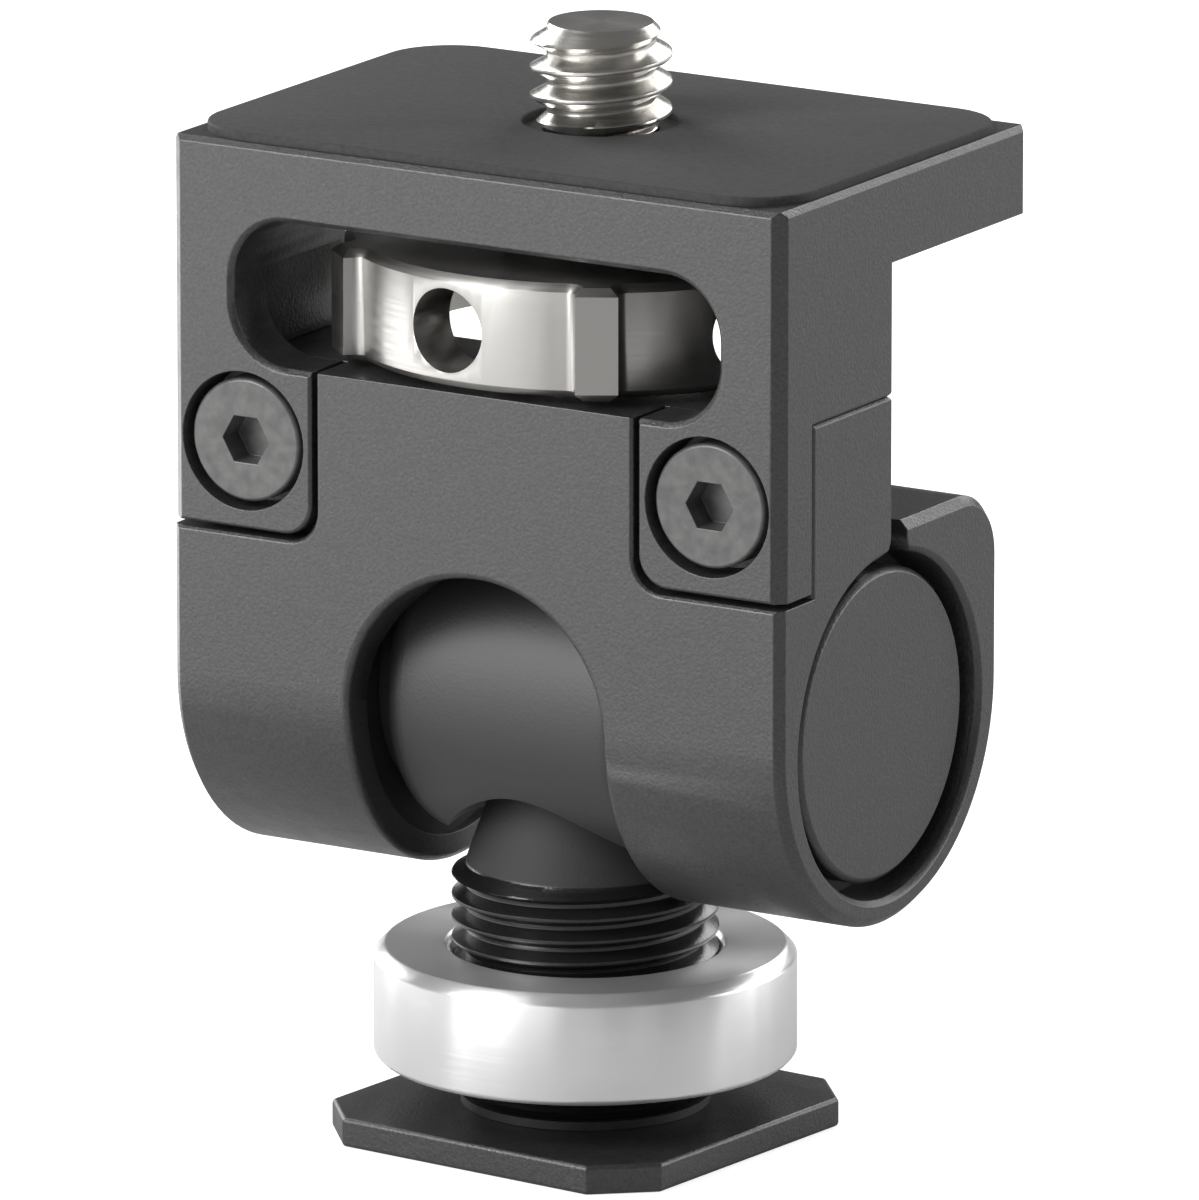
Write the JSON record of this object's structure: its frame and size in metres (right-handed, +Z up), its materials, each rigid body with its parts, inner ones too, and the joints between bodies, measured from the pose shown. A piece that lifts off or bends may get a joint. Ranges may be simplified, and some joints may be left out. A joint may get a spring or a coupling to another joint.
{
  "type": "camera monitor tilt mount",
  "caption": "Tilting monitor mount: plate with captive screw and thumbwheel, friction barrel hinge, threaded stem with lock ring and square shoe foot.",
  "frame": {"origin": "centre of the shoe foot's underside, on the swivel axis", "axes": "+Z up along the stem towards the monitor screw, +X along the tilt axle, -Y towards the front with the window and head screws"},
  "size_m": [0.0316, 0.0236, 0.0505],
  "materials": {
    "black_anodised": "bead-blasted black anodised",
    "black_anodised_smooth": "machined black anodised",
    "black_rubber": "matt",
    "black_oxide_steel": "black oxide, satin",
    "stainless_steel": "turned, bright",
    "satin_aluminium": "satin turned",
    "black_nylon": "matt"
  },
  "bodies": {
    "foot": {"shoe_foot": "black_anodised"},
    "stem": {"threaded_stem": "black_anodised_smooth", "swivel_grub_screws": "black_oxide_steel", "swivel_washer": "black_nylon", "tilt_axle": "black_anodised_smooth", "axle_cap_left": "black_anodised", "axle_cap_right": "black_anodised", "axle_spring_washers": "stainless_steel"},
    "head": {"clamp_body": "black_anodised", "head_bracket": "black_anodised", "top_pad": "black_rubber", "head_screws": "black_oxide_steel", "friction_sleeve_left": "black_nylon", "friction_sleeve_right": "black_nylon", "wheel_washer": "black_nylon"},
    "wheel": {"thumb_wheel": "stainless_steel", "monitor_screw": "stainless_steel", "wheel_pin": "stainless_steel"},
    "ring_slider": {"ring_washer": "black_nylon"},
    "ring": {"lock_ring": "satin_aluminium"}
  },
  "joints": [
    {"name": "swivel", "type": "hinge", "parent": "foot", "child": "stem", "pos_m": [0, 0, 0], "axis": [0, 0, 1], "continuous": true},
    {"name": "tilt", "type": "hinge", "parent": "stem", "child": "head", "pos_m": [0, 0, 0.02065], "axis": [1, 0, 0], "range_deg": [-90, 90]},
    {"name": "wheel_turn", "type": "hinge", "parent": "head", "child": "wheel", "pos_m": [0, 0.00135, 0.03855], "axis": [0, 0, 1], "continuous": true},
    {"name": "ring_travel", "type": "slide", "parent": "stem", "child": "ring_slider", "axis": [0, 0, 1], "range_m": [-0.00201, 0.00201]},
    {"name": "ring_turn", "type": "hinge", "parent": "ring_slider", "child": "ring", "pos_m": [0, 0, 0.00608], "axis": [0, 0, 1], "range_deg": [-720, 720]}
  ],
  "couplings": [
    {"joint": "ring_travel", "follows": "ring_turn", "m_per_rad": 0.00015915}
  ]
}
